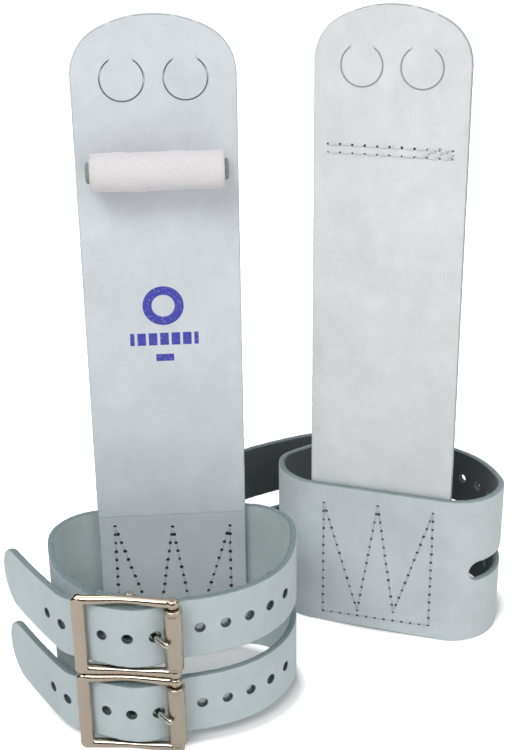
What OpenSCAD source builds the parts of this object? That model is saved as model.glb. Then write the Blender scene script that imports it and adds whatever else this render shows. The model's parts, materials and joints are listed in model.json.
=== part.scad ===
// Pair of leather gymnastics dowel grips standing on their closed wristbands.
// Millimetres, +Z up. Origin: middle of the left wristband on the table, straps towards -Y.
// The right grip is the left one mirrored, turned and set down behind it.

/* [Leather] */
// Thickness of the leather used for bands and palms
leather = 2; // [1.9:0.05:2.1]
// Gap kept between leather that lies on other leather
ply_gap = 0.1; // [0.08:0.01:0.12]

/* [Wristband] */
// Full width of the band behind the palm
band_width = 51; // [50.6:0.2:51.4]
// Width of each strap
strap_width = 19; // [18:0.5:19]
// Half the width of the closed band, side to side
band_half_width = 37; // [36.5:0.5:37.5]
// Half the depth of the closed band, front to back
band_half_depth = 24; // [23.5:0.25:24.5]
// Corner radius beside the palm
corner_radius = 16; // [15.5:0.5:16.5]
// Radius of the side curve in front of the corner
side_radius = 30.4; // [30:0.2:30.8]
// Distance between strap holes
hole_pitch = 7.4; // [7.3:0.05:7.5]
// Diameter of each strap hole
hole_diameter = 3.2; // [3:0.1:3.3]
// Bend of each left tail just past its buckle, degrees
left_tail_knee = 30; // [26:1:34]
// Bend of each right tail just past its buckle, degrees
right_tail_knee = 14; // [12:1:20]
// Radius of the left tail's bend
left_knee_radius = 10; // [9:1:14]
// Radius of the right tail's bend
right_knee_radius = 30; // [26:2:34]
// Gentle curl of the left tails, degrees
left_tail_curl = 8; // [4:1:12]
// Gentle curl of the right tails, degrees
right_tail_curl = 16; // [12:1:20]
// Length of each strap from the buckle's centre bar to its tip
tail_length = 58; // [54:1:60]

/* [Palm] */
// Palm width at the wrist
palm_width_base = 45.4; // [44:0.2:45.6]
// Palm width at the fingers
palm_width_top = 44.6; // [43:0.2:45]
// Height of the palm's top edge above the table
palm_top = 200; // [195:1:205]
// Height of the fold where the palm leaves the band
crease_height = 48.6; // [48:0.2:49]
// Radius of the top arch
arch_radius = 32; // [31:0.5:34]
// Radius of the two shoulders
shoulder_radius = 14; // [13:0.5:14.5]
// Diameter of each finger hole
finger_hole = 12; // [11.5:0.25:12.5]
// Distance between finger hole centres
finger_spacing = 17.1; // [16.8:0.1:17.6]
// Finger hole centres below the top edge
finger_drop = 16.8; // [16:0.2:18]

/* [Dowel] */
// Dowel core diameter
core_diameter = 6; // [5:0.5:6.5]
// Dowel core length
core_length = 38.6; // [37:0.2:39]
// Diameter over the leather cover
cover_diameter = 10.8; // [10.4:0.2:11.4]
// Length of the leather cover
cover_length = 36.2; // [35:0.2:36.6]
// Height of the dowel axis
dowel_height = 159.4; // [157:0.2:162]

/* [Buckle] */
// Frame height
frame_height = 25.4; // [25:0.1:25.4]
// Thickness of the top and bottom rails
rail = 2.7; // [2.5:0.1:2.8]
// Centre bar diameter
centre_bar = 2.4; // [2.2:0.1:2.5]
// Roller outside diameter
roller_diameter = 5.2; // [5:0.1:5.3]
// Roller pin diameter
roller_pin = 2.8; // [2.4:0.1:3]
// Tongue wire diameter
tongue_wire = 1.9; // [1.7:0.1:2]

/* [Stitching] */
// Thread diameter
thread = 0.6; // [0.5:0.05:0.7]
// Stitch spacing on the wristband
band_pitch = 3.05; // [2.9:0.05:3.3]
// Stitch spacing under the dowel
dowel_pitch = 3.62; // [3.4:0.02:3.8]

/* [Placing] */
// Right grip offset along X
pair_x = 74.2; // [74:0.5:90]
// Right grip offset along Y
pair_y = 48.6; // [48:0.5:60]
// Right grip turn about the vertical
pair_turn = -22.6; // [-24:0.2:-18]

/* [View] */
// Node to draw

/* [Hidden] */
$fn = 64;
tiny = 0.01;
pale_leather = [0.74, 0.79, 0.81];
suede = [0.88, 0.86, 0.87];
nickel = [0.72, 0.68, 0.62];
linen = [0.90, 0.92, 0.93];
beech = [0.62, 0.50, 0.38];

// Wristband plan: flat back, two corners, two sides and one front curve
corner_x = band_half_width - corner_radius;
corner_y = band_half_depth - corner_radius;
corner_mid = corner_radius - leather / 2;
side_x = band_half_width - side_radius;
// front curve tangent to both sides and touching the front
front_radius = (side_radius * side_radius - side_x * side_x
    - (band_half_depth + corner_y) * (band_half_depth + corner_y))
    / (2 * (side_radius - band_half_depth - corner_y));
front_y = front_radius - band_half_depth;
front_meet = asin(side_x / (front_radius - side_radius));
lower_z = frame_height / 2;
upper_z = band_width - frame_height / 2;
strap_top = upper_z + strap_width / 2;
strap_bottom = lower_z - strap_width / 2;
slot = upper_z - lower_z - strap_width;
middle_z = band_width / 2;
slot_start = 50;

// Buckle frame: local +X runs along the strap to its tail, local +Y points outwards
buckle_x = -12.5;
buckle_y = -22;
buckle_turn = 11.7;
run_clear = 0.05;
facet_turn = 4;
facet_length = 5;
bar_r = centre_bar / 2;
loop_r = bar_r + ply_gap + leather / 2;
tab_n = loop_r;
strap_n = tab_n + leather + ply_gap;
end_bar_w = 13.6;
end_bar_n = 4.6;
rail_low = 2.2;
end_bar_half = 1.4;
roller_w = -12.8;
roller_n = 3.62;
roller_r = roller_diameter / 2;

function to_buckle(p) = [
    -(p[0] - buckle_x) * cos(buckle_turn) + (p[1] - buckle_y) * sin(buckle_turn),
    -(p[0] - buckle_x) * sin(buckle_turn) - (p[1] - buckle_y) * cos(buckle_turn)];
// radius of the bend that joins a straight run to the bar, and the length of that run
function bend_r(w, rise, a) = (w * tan(a) - rise) / (1 / cos(a) - 1);
function run_l(w, r, a) = (w - r * sin(a)) / cos(a);

// Tab: leaves the left side curve and rises over the centre bar
tab_turn = 40;
tab_leave = tab_turn + buckle_turn;
side_mid = side_radius - leather / 2;
tab_joint = to_buckle([-side_x - side_mid * sin(tab_leave), corner_y - side_mid * cos(tab_leave)]);
tab_bend = bend_r(tab_joint[0], tab_n - tab_joint[1], tab_turn);
tab_run = run_l(tab_joint[0], tab_bend, tab_turn);
// inner ply folds back straight, then turns to lie along the outer ply
fold_run = 6.8;
fold_turn = 24;
fold_end = 1.8;

// Strap: leaves the front curve, kicks outwards under the roller, then bends over the bar
strap_leave = 5;
front_mid = front_radius - leather / 2;
strap_joint = to_buckle([front_mid * sin(strap_leave), front_y - front_mid * cos(strap_leave)]);
kick_from = buckle_turn + strap_leave;
kick = 14.5;
kick_r = 10;
rise_turn = kick_from + kick;
kick_w = strap_joint[0] + kick_r * (sin(rise_turn) - sin(kick_from));
kick_n = strap_joint[1] + kick_r * (cos(kick_from) - cos(rise_turn));
rise_bend = bend_r(-kick_w, strap_n - kick_n, rise_turn);
rise_run = run_l(-kick_w, rise_bend, rise_turn);
over_bend = tab_bend + leather + ply_gap;
over_turn = 14;
over_run = 11.6;

// Tongue hole: on the straight rise, one pitch before the bar
rise_arc = rise_bend * rise_turn * PI / 180;
tongue_gap = hole_pitch - rise_arc;
tongue_w = -rise_bend * sin(rise_turn) - tongue_gap * cos(rise_turn);
tongue_n = strap_n - rise_bend * (1 - cos(rise_turn)) - tongue_gap * sin(rise_turn);

// Palm
palm_back = band_half_depth - leather - 0.2;
palm_front = palm_back - leather;
palm_mid = palm_back - leather / 2;
arch_z = palm_top - arch_radius;
shoulder_x = palm_width_top / 2 - shoulder_radius;
shoulder_z = arch_z + sqrt(pow(arch_radius - shoulder_radius, 2) - shoulder_x * shoulder_x);
finger_z = palm_top - finger_drop;
finger_r = finger_hole / 2;
tab_r = finger_r - 0.35;
hinge_rise = 5.1;
hinge_half = 2.3;
dowel_y = palm_front - cover_diameter / 2 - 0.1;

// Stitching
stitch_half = 17.9;
stitch_top = 45;
stitch_low = 8;
stitch_bottom = 5;
valley_x = 6;

// ---------- placing ----------
module on_right() translate([pair_x, pair_y, 0]) rotate([0, 0, pair_turn]) mirror([0, 1, 0]) children();
module on_buckle(z) translate([buckle_x, buckle_y, z]) rotate([0, 0, 180 - buckle_turn]) children();

// ---------- wristband ----------
// Points [x, y, heading] along a strip made of [length, turn] steps; a left turn is positive
function strip_point(p, h, step, t) = step[1] == 0
    ? [p[0] + step[0] * t * cos(h), p[1] + step[0] * t * sin(h), h]
    : let (r = step[0] / (step[1] * PI / 180), g = h + step[1] * t)
        [p[0] + r * (sin(g) - sin(h)), p[1] + r * (cos(h) - cos(g)), g];
function facets(step) = step[1] == 0 ? 1
    : max(ceil(abs(step[1]) / facet_turn), ceil(step[0] / facet_length));
function strip(p, h, steps, i = 0) = i >= len(steps) ? [] :
    let (n = facets(steps[i]), end = strip_point(p, h, steps[i], 1))
        concat([for (k = [1:n]) strip_point(p, h, steps[i], k / n)],
            strip(end, end[2], steps, i + 1));
function arc_step(r, turn) = [r * abs(turn) * PI / 180, turn];
// From the strap's high point the other way, under the end bar to the tip
function tail_steps(shape) =
    let (over = arc_step(over_bend, -over_turn), knee = arc_step(shape[1], -shape[0]))
        [over, [over_run, 0], knee, [tail_length - over[0] - over_run - knee[0], -shape[2]]];
// Point at length s along steps
function walk(p, h, steps, s, i = 0) = s <= steps[i][0] || i == len(steps) - 1
    ? strip_point(p, h, steps[i], s / steps[i][0])
    : let (end = strip_point(p, h, steps[i], 1)) walk(end, end[2], steps, s - steps[i][0], i + 1);
function tail_at(shape, s) = walk([0, strap_n], 0, tail_steps(shape), s);
function beside(q, d) = [q[0] + d * sin(q[2]), q[1] - d * cos(q[2])];

// From the strap's high point over the bar: under the roller, round the wrist, to the folded tab
function band_steps() = [
    arc_step(rise_bend, rise_turn),
    [rise_run, 0],
    arc_step(kick_r, -kick),
    arc_step(front_mid, front_meet - strap_leave),
    arc_step(side_mid, 90 - front_meet),
    arc_step(corner_mid, 90),
    [2 * corner_x, 0],
    arc_step(corner_mid, 90),
    arc_step(side_mid, 90 - tab_leave),
    [tab_run, 0],
    arc_step(tab_bend, tab_turn),
    arc_step(loop_r, 180),
    [fold_run, 0],
    arc_step(4, -fold_turn),
    [fold_end, 0]];

module band_plan(shape) {
    out = [-sin(buckle_turn), -cos(buckle_turn)];
    high = [buckle_x, buckle_y] + strap_n * out;
    ahead = strip(high, -buckle_turn, band_steps());
    back = strip(high, 180 - buckle_turn, tail_steps(shape));
    half = leather / 2;
    count = len(back);
    polygon(concat(
        [for (i = [1:count]) beside(back[count - i], -half)],
        [high + half * out],
        [for (q = ahead) beside(q, half)],
        [for (i = [1:len(ahead)]) beside(ahead[len(ahead) - i], -half)],
        [high - half * out],
        [for (q = back) beside(q, half)]));
}

// Planar cuts that narrow the band from its full width to the two straps
module taper() {
    reach = 80;
    from_y = 12;
    to_y = -9;
    translate([-reach, 0, 0]) rotate([90, 0, 90]) linear_extrude(2 * reach) {
        polygon([[from_y, band_width], [to_y, strap_top], [-reach, strap_top],
            [-reach, band_width + 5], [from_y, band_width + 5]]);
        polygon([[from_y, 0], [to_y, strap_bottom], [-reach, strap_bottom],
            [-reach, -5], [from_y, -5]]);
    }
    // the tails stand outside the ring
    tails_x = -1.5 - band_half_width;
    for (z = [strap_bottom - 20, middle_z - slot / 2, strap_top])
        translate([tails_x - reach, -reach / 2, z])
            cube([reach, reach, z == middle_z - slot / 2 ? slot : 20]);
}

// Long slot that splits the band into an upper and a lower strap
module strap_slot() {
    reach = 40;
    depth = 4;
    end_y = 3;
    translate([corner_x, corner_y, middle_z - slot / 2]) linear_extrude(slot)
        polygon([[0, 0], reach * [cos(20), -sin(20)], reach * [1, 0],
            reach * [cos(slot_start), sin(slot_start)]]);
    translate([corner_x, corner_y, middle_z]) rotate([0, 90, slot_start])
        translate([0, 0, corner_radius - leather - depth])
            cylinder(d = slot, h = leather + 2 * depth);
    translate([-60, -60, middle_z - slot / 2]) cube([120, 60 + end_y, slot]);
    translate([5 - band_half_width, end_y, middle_z]) rotate([0, -90, 0])
        cylinder(d = slot, h = 10);
}

module wall_hole(x, y, r, a) {
    translate([x, y, 0]) rotate([0, 90, a])
        translate([0, 0, r - 4]) cylinder(d = hole_diameter, h = 6);
}

// Holes on the ring, counted from the tongue hole back towards the palm
module ring_holes() {
    start = rise_run - tongue_gap + kick_r * kick * PI / 180;
    front_arc = front_mid * (front_meet - strap_leave) * PI / 180;
    for (i = [2:6]) {
        s = i * hole_pitch - start;
        if (s < front_arc)
            wall_hole(0, front_y, front_radius, strap_leave - 90 + s / front_mid * 180 / PI);
        else
            wall_hole(side_x, corner_y, side_radius,
                front_meet - 90 + (s - front_arc) / side_mid * 180 / PI);
    }
}

// Tongue hole and the one under the roller, then the ones over the bar and in the tail
module buckle_holes(shape) {
    for (i = [0, 1])
        translate([tongue_w - i * hole_pitch * cos(rise_turn), tongue_n - i * hole_pitch * sin(rise_turn), 0])
            rotate([90, 0, rise_turn])
                cylinder(d = hole_diameter, h = 2.6 * leather, center = true);
    for (i = [0:4]) {
        q = tail_at(shape, i * hole_pitch);
        translate([q[0], q[1], 0]) rotate([90, 0, q[2]])
            cylinder(d = hole_diameter, h = leather + 1.9 * ply_gap, center = true);
    }
}

// Everything outside the half-round end of a tail
module tail_end(shape) {
    q = tail_at(shape, tail_length - strap_width / 2);
    translate([q[0], q[1], 0]) rotate([90, 0, q[2]])
        linear_extrude(3 * leather, center = true)
            difference() {
                translate([0, -strap_width / 2 - 1]) square([strap_width, strap_width + 2]);
                circle(d = strap_width);
            }
}

// Slot for the tongue, through the fold round the bar only
module tongue_slot() {
    high = tongue_wire + 1.4;
    skim = 0.3 * ply_gap;
    cylinder(r = loop_r + leather / 2 + skim, h = high, center = true);
    intersection() {
        translate([0, tab_n - tab_bend, 0])
            cylinder(r = tab_bend + leather / 2 + skim, h = high, center = true);
        translate([0, -4, -high]) cube([4, 12, 2 * high]);
    }
}

module wrist_band(shape) {
    difference() {
        linear_extrude(band_width) band_plan(shape);
        taper();
        strap_slot();
        for (z = [lower_z, upper_z]) {
            translate([0, 0, z]) ring_holes();
            on_buckle(z) {
                buckle_holes(shape);
                tail_end(shape);
                tongue_slot();
            }
        }
    }
}

// ---------- palm ----------
// Flat leather drawn in X and height, back face on the given plane
module leather_sheet(y) translate([0, y, 0]) rotate([90, 0, 0]) linear_extrude(leather) children();

module palm_base() {
    foot_r = 5;
    low = 1.5;
    half = palm_width_base / 2;
    leather_sheet(palm_back) {
        translate([-half, low + foot_r])
            square([palm_width_base, crease_height - leather / 2 - run_clear - low - foot_r]);
        translate([-half + foot_r, low]) square([palm_width_base - 2 * foot_r, foot_r + tiny]);
        for (s = [-1, 1]) translate([s * (half - foot_r), low + foot_r]) circle(r = foot_r);
    }
}

module palm_outline() {
    bottom = palm_width_base / 2;
    top = palm_width_top / 2;
    reach = arch_radius / (arch_radius - shoulder_radius);
    polygon([[-bottom, crease_height], [bottom, crease_height],
        [top, shoulder_z], [-top, shoulder_z]]);
    for (s = [-1, 1]) translate([s * shoulder_x, shoulder_z]) circle(r = shoulder_radius);
    intersection() {
        translate([0, arch_z]) circle(r = arch_radius);
        polygon([[0, arch_z], [2 * reach * shoulder_x, arch_z + 2 * reach * (shoulder_z - arch_z)],
            [-2 * reach * shoulder_x, arch_z + 2 * reach * (shoulder_z - arch_z)]]);
    }
    polygon([[-shoulder_x, shoulder_z], [shoulder_x, shoulder_z], [0, arch_z + arch_radius - 4]]);
}

module finger_cut() {
    intersection() {
        circle(r = finger_r);
        translate([-finger_r, -finger_r]) square([2 * finger_r, finger_r + hinge_rise]);
    }
    translate([-hinge_half - 0.4, 0]) square([2 * hinge_half + 0.8, hinge_rise + leather / 2 + 0.1]);
}

module palm_flap() {
    leather_sheet(palm_back)
        difference() {
            palm_outline();
            for (s = [-1, 1]) translate([s * finger_spacing / 2, finger_z]) finger_cut();
        }
    translate([-palm_width_base / 2, palm_mid, crease_height]) rotate([0, 90, 0])
        cylinder(d = leather, h = palm_width_base);
}

module finger_tab(side) {
    web = 1.6;
    translate([side * finger_spacing / 2, 0, finger_z]) {
        leather_sheet(palm_back)
            intersection() {
                circle(r = tab_r);
                translate([-tab_r, -tab_r]) square([2 * tab_r, tab_r + hinge_rise - web]);
            }
        leather_sheet(palm_back)
            translate([-hinge_half, hinge_rise - web - tiny]) square([2 * hinge_half, web + tiny]);
        translate([-hinge_half, palm_mid, hinge_rise]) rotate([0, 90, 0])
            cylinder(d = leather, h = 2 * hinge_half);
    }
}

// ---------- dowel ----------
module dowel_core() {
    translate([-core_length / 2, dowel_y, dowel_height]) rotate([0, 90, 0])
        cylinder(d = core_diameter, h = core_length);
}

module dowel_cover() {
    foot_h = 6;
    difference() {
        union() {
            translate([-cover_length / 2, dowel_y, dowel_height]) rotate([0, 90, 0])
                cylinder(d = cover_diameter, h = cover_length);
            translate([-cover_length / 2, dowel_y, dowel_height - foot_h / 2])
                cube([cover_length, palm_front - dowel_y - ply_gap, foot_h]);
        }
        translate([-cover_length, dowel_y, dowel_height]) rotate([0, 90, 0])
            cylinder(d = core_diameter + 2 * ply_gap, h = 2 * cover_length);
    }
}

// ---------- stitching ----------
// Row of short threads lying on a leather face, from [x, z] to [x, z] at depth y
module stitch_row(y, from, to, pitch) {
    across = to[0] - from[0];
    up = to[1] - from[1];
    count = round(norm([across, up]) / pitch);
    for (i = [0:count - 1])
        translate([from[0] + across * (i + 0.5) / count, y, from[1] + up * (i + 0.5) / count])
            rotate([0, 90 - atan2(up, across), 0])
                cylinder(d = thread, h = pitch * 0.62, center = true);
}

module dowel_stitching() {
    lift = thread / 2 + 0.02;
    for (z = [dowel_height - 1.2, dowel_height + 1.2])
        stitch_row(palm_back + lift, [-cover_length / 2, z], [cover_length / 2, z], dowel_pitch);
}

module w_stitch(y) {
    left = [-stitch_half, stitch_top];
    middle = [0, stitch_top];
    right = [stitch_half, stitch_top];
    inset = 1.4;
    stitch_row(y, left + [0, -inset], [-stitch_half, stitch_bottom + inset], band_pitch);
    stitch_row(y, left + [inset, -inset], [-valley_x - 0.6, stitch_low], band_pitch);
    stitch_row(y, [-valley_x + 0.6, stitch_low], middle + [-0.5, -inset], band_pitch);
    stitch_row(y, middle + [0.5, -inset], [valley_x - 0.6, stitch_low], band_pitch);
    stitch_row(y, [valley_x + 0.6, stitch_low], right + [-inset, -inset], band_pitch);
    stitch_row(y, right + [0, -inset], [stitch_half, stitch_bottom + inset], band_pitch);
    stitch_row(y, [-stitch_half, stitch_bottom], [stitch_half, stitch_bottom], band_pitch);
}

module band_stitching() {
    lift = thread / 2 + 0.02;
    w_stitch(palm_front - lift);
    w_stitch(band_half_depth + lift);
}

// Row through both plies of each buckle tab, seen inside the band
module tab_stitching() {
    stitch_w = 5;
    for (z = [lower_z, upper_z])
        on_buckle(z)
            for (i = [-2.5:1:2.5])
                translate([stitch_w, -loop_r - leather / 2 - thread / 2 - 0.02, i * band_pitch])
                    cylinder(d = thread, h = band_pitch * 0.62, center = true);
}

// ---------- buckle ----------
module rail_plan() {
    half = 1.4;
    for (p = [[end_bar_w, end_bar_n], [roller_w, roller_n]]) translate(p) circle(r = half);
    polygon([[end_bar_w, end_bar_n + half], [0, rail_low + half], [0, rail_low - half],
        [end_bar_w, end_bar_n - half]]);
    polygon([[roller_w, roller_n + half], [0, rail_low + half], [0, rail_low - half],
        [roller_w, roller_n - half]]);
}

module buckle_frame() {
    half = frame_height / 2;
    knob_r = 2.2;
    bevel = 0.5;
    for (s = [-1, 1])
        translate([0, 0, s * (half - rail / 2)]) {
            translate([0, 0, -rail / 2]) linear_extrude(rail) rail_plan();
            // rounded knob that carries the roller pin
            translate([roller_w, roller_n, 0]) {
                cylinder(r = knob_r, h = rail - 2 * bevel, center = true);
                cylinder(r = knob_r - bevel, h = rail, center = true);
            }
        }
    // centre bar, roller pin and flattened end bar
    cylinder(r = bar_r, h = frame_height - 1, center = true);
    translate([roller_w, roller_n, 0]) cylinder(d = roller_pin, h = frame_height - 1, center = true);
    for (w = [-0.6, 0.6])
        translate([end_bar_w + w, end_bar_n, 0]) cylinder(r = end_bar_half, h = frame_height, center = true);
    translate([end_bar_w - 0.6, end_bar_n - end_bar_half, -half]) cube([1.2, 2 * end_bar_half, frame_height]);
}

module roller() {
    length = frame_height - 2 * rail - 0.4;
    bevel = 0.4;
    translate([roller_w, roller_n, 0])
        difference() {
            union() {
                cylinder(r = roller_r, h = length - 2 * bevel, center = true);
                cylinder(r = roller_r - bevel, h = length, center = true);
            }
            cylinder(d = roller_pin + 2 * run_clear, h = length + 2, center = true);
        }
}

// Straight piece of tongue between two points, with a round joint at each
module tongue_piece(a, b) {
    half = tongue_wire / 2;
    swell = 0.04;
    side = half * [a[1] - b[1], b[0] - a[0]] / norm(b - a);
    for (p = [a, b]) translate([p[0], p[1], 0]) cylinder(r = half + swell, h = tongue_wire, center = true);
    linear_extrude(tongue_wire, center = true) polygon([a + side, b + side, b - side, a - side]);
}

module tongue() {
    loop_wall = 1;
    lead = [-sin(rise_turn), cos(rise_turn)];
    hole = [tongue_w, tongue_n];
    below = hole - 2.3 * lead;
    above = hole + 2.1 * lead;
    rest = roller_r + tongue_wire / 2 + 0.25;
    cheek = [roller_w + rest * sin(58), roller_n + rest * cos(58)];
    tip = [roller_w + (rest + 0.3) * sin(15), roller_n + (rest + 0.3) * cos(15)];
    difference() {
        union() {
            cylinder(r = bar_r + run_clear + loop_wall, h = tongue_wire, center = true);
            tongue_piece([-bar_r - 0.6, -0.4], below);
            tongue_piece(below, above);
            tongue_piece(above, cheek);
            tongue_piece(cheek, tip);
        }
        cylinder(r = bar_r + run_clear, h = 2 * tongue_wire, center = true);
    }
}

// ---------- left grip ----------
module left_wrist_band() color(pale_leather)
    wrist_band([left_tail_knee, left_knee_radius, left_tail_curl]);
module left_palm_base() color(pale_leather) palm_base();
module left_palm_flap() color(pale_leather) palm_flap();
module left_outer_finger_tab() color(pale_leather) finger_tab(-1);
module left_inner_finger_tab() color(pale_leather) finger_tab(1);
module left_dowel_core() color(beech) dowel_core();
module left_dowel_cover() color(suede) dowel_cover();
module left_dowel_stitching() color(linen) dowel_stitching();
module left_band_stitching() color(linen) band_stitching();
module left_tab_stitching() color(linen) tab_stitching();
module left_upper_buckle_frame() color(nickel) on_buckle(upper_z) buckle_frame();
module left_upper_roller() color(nickel) on_buckle(upper_z) roller();
module left_upper_tongue() color(nickel) on_buckle(upper_z) tongue();
module left_lower_buckle_frame() color(nickel) on_buckle(lower_z) buckle_frame();
module left_lower_roller() color(nickel) on_buckle(lower_z) roller();
module left_lower_tongue() color(nickel) on_buckle(lower_z) tongue();

// ---------- right grip ----------
module right_wrist_band() color(pale_leather) on_right()
    wrist_band([right_tail_knee, right_knee_radius, right_tail_curl]);
module right_palm_base() color(pale_leather) on_right() palm_base();
module right_palm_flap() color(pale_leather) on_right() palm_flap();
module right_outer_finger_tab() color(pale_leather) on_right() finger_tab(-1);
module right_inner_finger_tab() color(pale_leather) on_right() finger_tab(1);
module right_dowel_core() color(beech) on_right() dowel_core();
module right_dowel_cover() color(suede) on_right() dowel_cover();
module right_dowel_stitching() color(linen) on_right() dowel_stitching();
module right_band_stitching() color(linen) on_right() band_stitching();
module right_tab_stitching() color(linen) on_right() tab_stitching();
module right_upper_buckle_frame() color(nickel) on_right() on_buckle(upper_z) buckle_frame();
module right_upper_roller() color(nickel) on_right() on_buckle(upper_z) roller();
module right_upper_tongue() color(nickel) on_right() on_buckle(upper_z) tongue();
module right_lower_buckle_frame() color(nickel) on_right() on_buckle(lower_z) buckle_frame();
module right_lower_roller() color(nickel) on_right() on_buckle(lower_z) roller();
module right_lower_tongue() color(nickel) on_right() on_buckle(lower_z) tongue();

left_wrist_band();
left_palm_base();
left_palm_flap();
left_outer_finger_tab();
left_inner_finger_tab();
left_dowel_core();
left_dowel_cover();
left_dowel_stitching();
left_band_stitching();
left_tab_stitching();
left_upper_buckle_frame();
left_upper_roller();
left_upper_tongue();
left_lower_buckle_frame();
left_lower_roller();
left_lower_tongue();
right_wrist_band();
right_palm_base();
right_palm_flap();
right_outer_finger_tab();
right_inner_finger_tab();
right_dowel_core();
right_dowel_cover();
right_dowel_stitching();
right_band_stitching();
right_tab_stitching();
right_upper_buckle_frame();
right_upper_roller();
right_upper_tongue();
right_lower_buckle_frame();
right_lower_roller();
right_lower_tongue();
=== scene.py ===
import json
import math
import random

import bpy
import numpy as np
from mathutils import Matrix, Vector, geometry, noise


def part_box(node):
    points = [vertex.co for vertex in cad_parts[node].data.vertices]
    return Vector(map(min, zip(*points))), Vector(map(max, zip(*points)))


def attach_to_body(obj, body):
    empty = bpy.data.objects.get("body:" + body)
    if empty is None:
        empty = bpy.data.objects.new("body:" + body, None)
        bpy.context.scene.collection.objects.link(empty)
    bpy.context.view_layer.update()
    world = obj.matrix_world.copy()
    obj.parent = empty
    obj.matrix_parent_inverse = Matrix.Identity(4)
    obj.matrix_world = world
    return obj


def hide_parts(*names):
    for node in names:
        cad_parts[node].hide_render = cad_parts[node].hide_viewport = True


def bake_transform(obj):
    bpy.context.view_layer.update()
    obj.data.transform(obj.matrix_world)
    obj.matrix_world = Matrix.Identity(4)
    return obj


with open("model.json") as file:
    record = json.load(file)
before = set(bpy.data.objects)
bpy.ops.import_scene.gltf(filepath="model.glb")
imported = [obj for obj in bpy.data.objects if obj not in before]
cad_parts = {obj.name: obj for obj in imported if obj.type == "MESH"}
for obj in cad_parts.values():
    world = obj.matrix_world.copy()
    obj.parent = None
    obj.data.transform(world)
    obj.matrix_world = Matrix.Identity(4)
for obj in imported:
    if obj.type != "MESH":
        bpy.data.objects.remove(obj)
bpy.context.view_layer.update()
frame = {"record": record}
random.seed(7)
record = frame["record"]
MM = 0.001

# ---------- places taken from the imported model
MOUNTS = {m["name"]: m for m in record["mounts"]}
JOINTS = {j["name"]: j for j in record["behaviour"]["joints"]}


def node_box_mm(name):
    lo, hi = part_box(name)
    return np.array(lo) / MM, np.array(hi) / MM


BAND_HI = node_box_mm("left_wrist_band")[1]
FLAP_HI = node_box_mm("left_palm_flap")[1]
BASE_LO, BASE_HI = node_box_mm("left_palm_base")
CORE_LO, CORE_HI = node_box_mm("left_dowel_core")
COVER_LO, COVER_HI = node_box_mm("left_dowel_cover")
pair = np.array(MOUNTS["right_wrist_opening"]["pos_m"]) / MM
PAIR_AXIS = np.array(JOINTS["right_palm_fold"]["axis"])
pair_angle = math.atan2(-PAIR_AXIS[1], -PAIR_AXIS[0])


def to_row(points, right):
    """Millimetres in a grip's own frame to metres in the row frame."""
    p = np.asarray(points, float).reshape(-1, 3).copy()
    if right:
        c, s = math.cos(pair_angle), math.sin(pair_angle)
        x, y = p[:, 0].copy(), -p[:, 1]
        p[:, 0] = x * c - y * s + pair[0]
        p[:, 1] = x * s + y * c + pair[1]
    return p * MM


# ---------- leather sizes, in millimetres
LEATHER = 2.0
HALF = LEATHER / 2
GAP = 0.1
STRAP = 19.0
BAND_HEIGHT = BAND_HI[2]
FRAME_HEIGHT = 25.4
LOWER_Z = FRAME_HEIGHT / 2
UPPER_Z = BAND_HEIGHT - FRAME_HEIGHT / 2
MIDDLE_Z = BAND_HEIGHT / 2

# slot between the straps: its height, where it ends on the right corner (degrees) and on the left side (y)
SLOT = UPPER_Z - LOWER_Z - STRAP
SLOT_TURN, SLOT_END_Y = 45.0, 3.0
# the band is lower towards the straps: by how much, and between which places front to back
DIP, DIP_FROM_Y, DIP_LENGTH = 3.2, 12.0, 21.0

# plan of the closed band, at its outer face
HALF_WIDTH = BAND_HI[0]
HALF_DEPTH = BAND_HI[1]
CORNER = 16.0
SIDE = 30.4

# strap holes, counted from the centre bar; the tongue sits in hole 1
PITCH = 7.4
TONGUE_HOLE_R, HOLE_R = 1.6, 1.4
TAIL_SLACK, RING_SLACK = 1.9, -1.6

# tails, for the left and the right grip: knee in degrees, its radius, and the curl up to the tip in degrees
TAIL_LENGTH = 58.0
TAILS = {False: (30.0, 10.0, 8.0), True: (14.0, 30.0, 16.0)}
OVER_TURN, OVER_RUN = 14.0, 11.6

# buckle: centre bar and heading in plan, then its parts in its own frame (along the strap, outwards)
BUCKLE = np.array([-12.5, -22.0])
BUCKLE_TURN = 11.7
BAR_R = 1.2
ROLLER = np.array([-12.8, 3.62])
ROLLER_R = 2.6
END_BAR = np.array([13.6, 4.5])
RAIL_LOW = 3.3

# the folded tab, and the strap's kick outwards under the roller
TAB_TURN = 40.0
FOLD_RUN, FOLD_R, FOLD_TURN, FOLD_END = 6.8, 4.0, 24.0, 1.8
STRAP_LEAVE = 5.0
KICK, KICK_R = 14.5, 10.0


def sind(a):
    return math.sin(math.radians(a))


def cosd(a):
    return math.cos(math.radians(a))


def on_buckle(w, n):
    """A point in the buckle's plan frame to the grip's plan frame."""
    a = 180 - BUCKLE_TURN
    return np.array([BUCKLE[0] + w * cosd(a) - n * sind(a), BUCKLE[1] + w * sind(a) + n * cosd(a)])


def to_buckle(p):
    """A point in the grip's plan frame to the buckle's plan frame."""
    dx, dy = p[0] - BUCKLE[0], p[1] - BUCKLE[1]
    c, s = cosd(BUCKLE_TURN), sind(BUCKLE_TURN)
    return np.array([-dx * c + dy * s, -dx * s - dy * c])


def bend_radius(w, rise, turn):
    """Radius of the bend that joins a run at this turn to the straight part over the bar."""
    return (w * math.tan(math.radians(turn)) - rise) / (1 / cosd(turn) - 1)


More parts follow.
